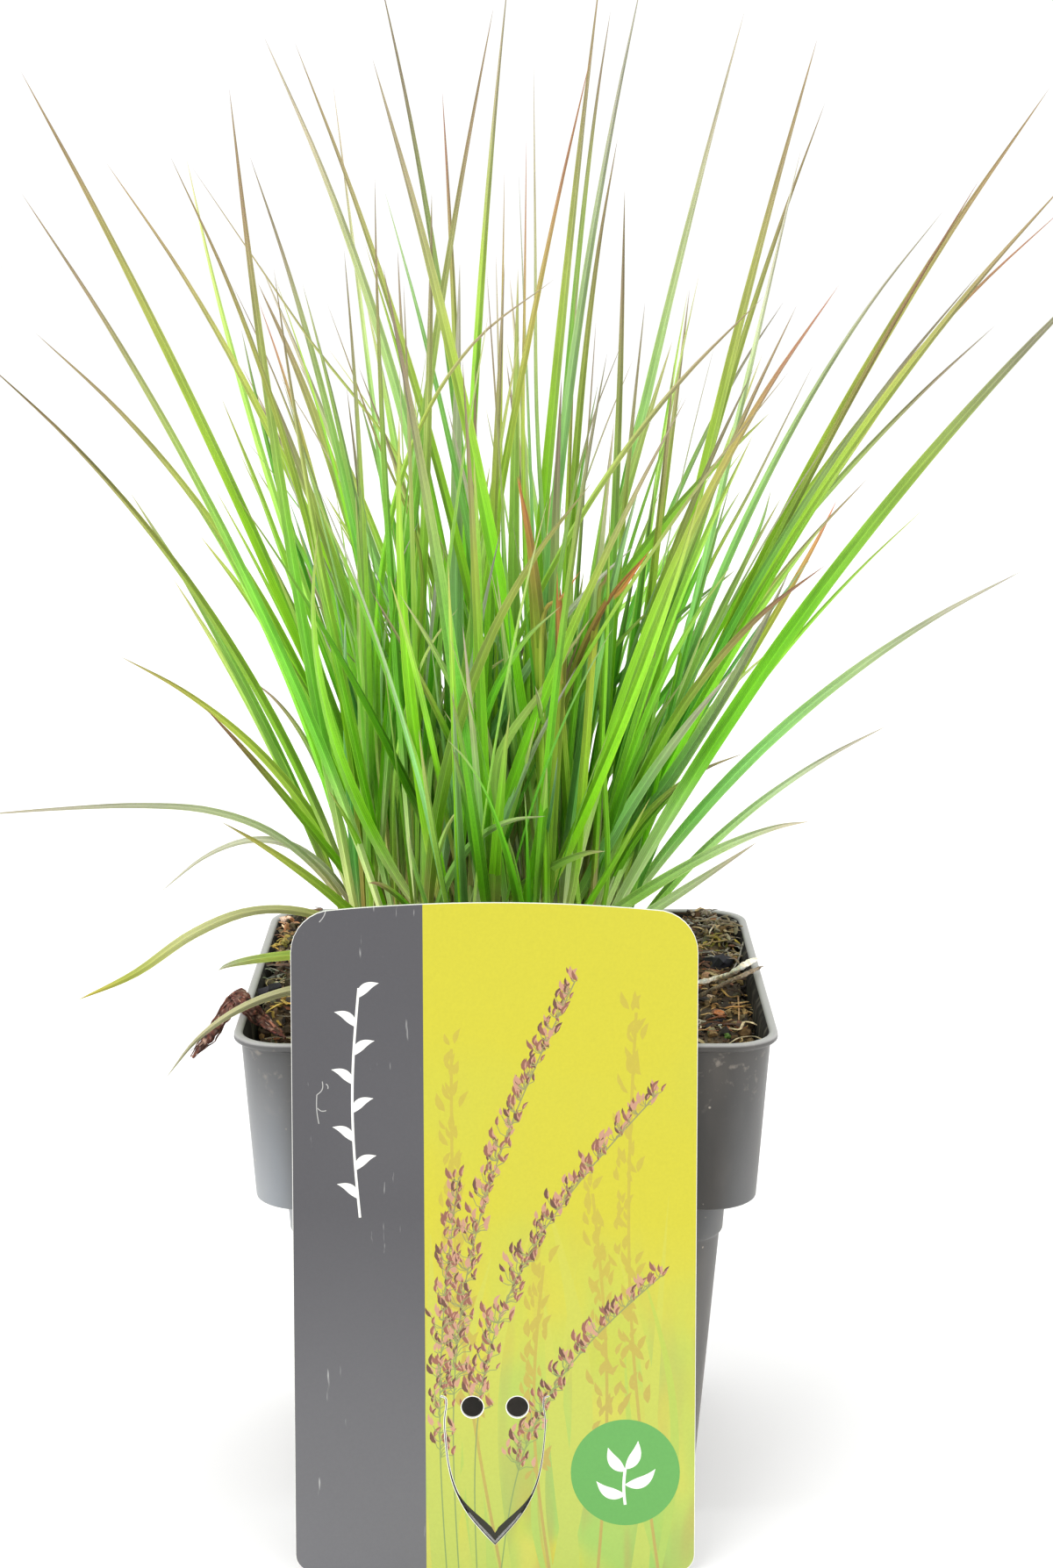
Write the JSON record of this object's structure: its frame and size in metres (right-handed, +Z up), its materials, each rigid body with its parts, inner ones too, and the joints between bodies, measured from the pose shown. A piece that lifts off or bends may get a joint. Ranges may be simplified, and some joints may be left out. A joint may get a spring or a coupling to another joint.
{
  "type": "potted moor grass",
  "caption": "Tuft of moor grass with arching blades growing in a square tapered nursery pot, with a thin picture label that stands on the ground and leans on the rim.",
  "frame": {"origin": "middle of the pot's underside, on the ground", "axes": "+Z up, -Y towards the picture label and the front of the pot, +X to the right seen from the front"},
  "size_m": [0.196, 0.1599, 0.263],
  "materials": {
    "pot_plastic": "thermoformed dark grey plastic, satin, dusty towards the foot",
    "potting_soil": "black peat with bark and straw fibres, damp and rough",
    "grass_crown": "brown fibrous leaf bases",
    "label_plastic": "printed plastic card, smooth and slightly glossy",
    "bark": "rough weathered pine bark",
    "dry_straw": "bleached dry grass stalk",
    "grass_blade": "fresh to olive green keeled blades with ribs, bronze and pink tips"
  },
  "bodies": {
    "root": {"pot": "pot_plastic", "potting_soil": "potting_soil", "crown": "grass_crown", "plant_label": "label_plastic", "bark_strip": "bark", "brown_twig": "bark", "dead_straw": "dry_straw", "tiller_01": "grass_blade", "tiller_02": "grass_blade", "tiller_03": "grass_blade", "tiller_04": "grass_blade", "tiller_05": "grass_blade", "tiller_06": "grass_blade", "tiller_07": "grass_blade", "tiller_08": "grass_blade", "tiller_09": "grass_blade", "tiller_10": "grass_blade", "tiller_11": "grass_blade", "tiller_12": "grass_blade", "tiller_13": "grass_blade", "tiller_14": "grass_blade", "tiller_15": "grass_blade", "tiller_16": "grass_blade", "tiller_17": "grass_blade", "tiller_18": "grass_blade", "tiller_19": "grass_blade", "tiller_20": "grass_blade", "tiller_21": "grass_blade", "tiller_22": "grass_blade", "tiller_23": "grass_blade", "tiller_24": "grass_blade", "tiller_25": "grass_blade", "tiller_26": "grass_blade", "tiller_27": "grass_blade", "tiller_28": "grass_blade", "tiller_29": "grass_blade", "tiller_30": "grass_blade", "tiller_31": "grass_blade", "tiller_32": "grass_blade", "tiller_33": "grass_blade", "tiller_34": "grass_blade", "tiller_35": "grass_blade", "tiller_36": "grass_blade", "tiller_37": "grass_blade", "tiller_38": "grass_blade", "tiller_39": "grass_blade", "tiller_40": "grass_blade", "tiller_41": "grass_blade", "tiller_42": "grass_blade", "tiller_43": "grass_blade", "tiller_44": "grass_blade", "tiller_45": "grass_blade", "tiller_46": "grass_blade", "tiller_47": "grass_blade", "tiller_48": "grass_blade", "tiller_49": "grass_blade", "tiller_50": "grass_blade", "tiller_51": "grass_blade", "tiller_52": "grass_blade"}
  },
  "joints": []
}
